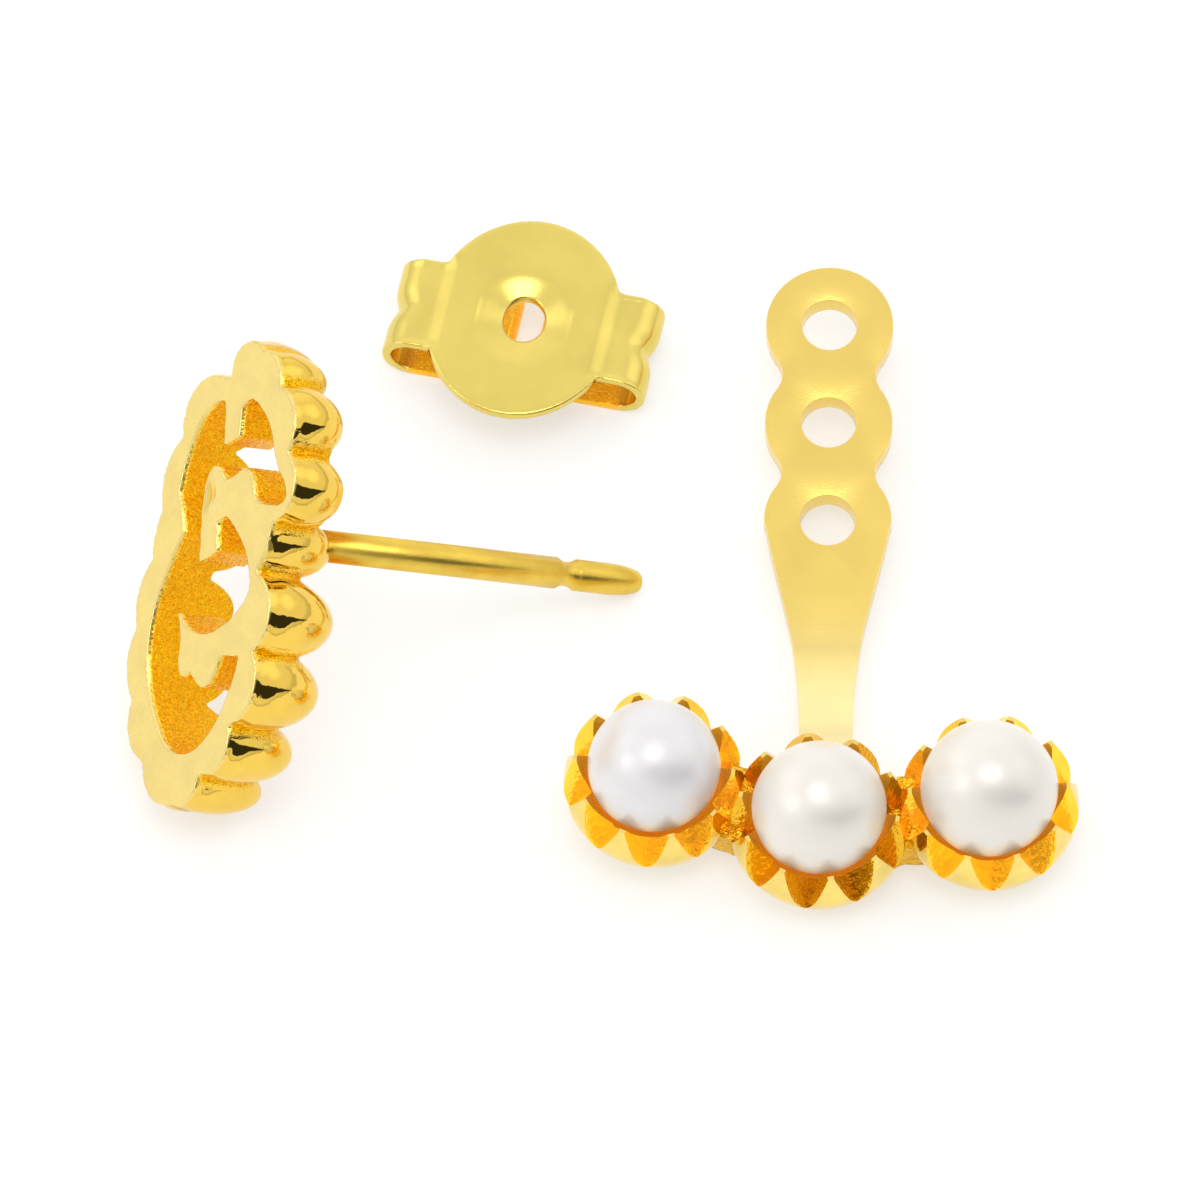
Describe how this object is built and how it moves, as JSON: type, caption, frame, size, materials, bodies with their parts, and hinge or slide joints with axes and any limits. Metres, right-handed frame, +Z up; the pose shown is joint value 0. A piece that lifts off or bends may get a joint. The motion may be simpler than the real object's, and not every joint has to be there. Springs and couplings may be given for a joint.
{
  "type": "stud earring with ear jacket",
  "caption": "Gold stud earring taken apart: openwork scalloped head on a post, holed ear jacket with pearls in toothed cups, and a friction back.",
  "frame": {"origin": "middle of the set's footprint, on the table that the three loose parts lie on", "axes": "+X to the right across the set, from the stud to the ear jacket; +Y away, along the jacket's plate; +Z up"},
  "size_m": [0.024, 0.0202, 0.0094],
  "materials": {
    "head_gold": "polished yellow gold face, cast gold inside",
    "jacket_gold": "polished yellow gold with cast, brightly cut teeth",
    "cool_pearl": "nacre, white with a cool sheen",
    "warm_pearl": "nacre, white with a cream sheen",
    "clutch_gold": "satin yellow gold sheet"
  },
  "bodies": {
    "root": {"stud": "head_gold", "ear_jacket": "jacket_gold", "pearl_left": "cool_pearl", "pearl_centre": "warm_pearl", "pearl_right": "warm_pearl", "friction_back": "clutch_gold"}
  },
  "joints": []
}
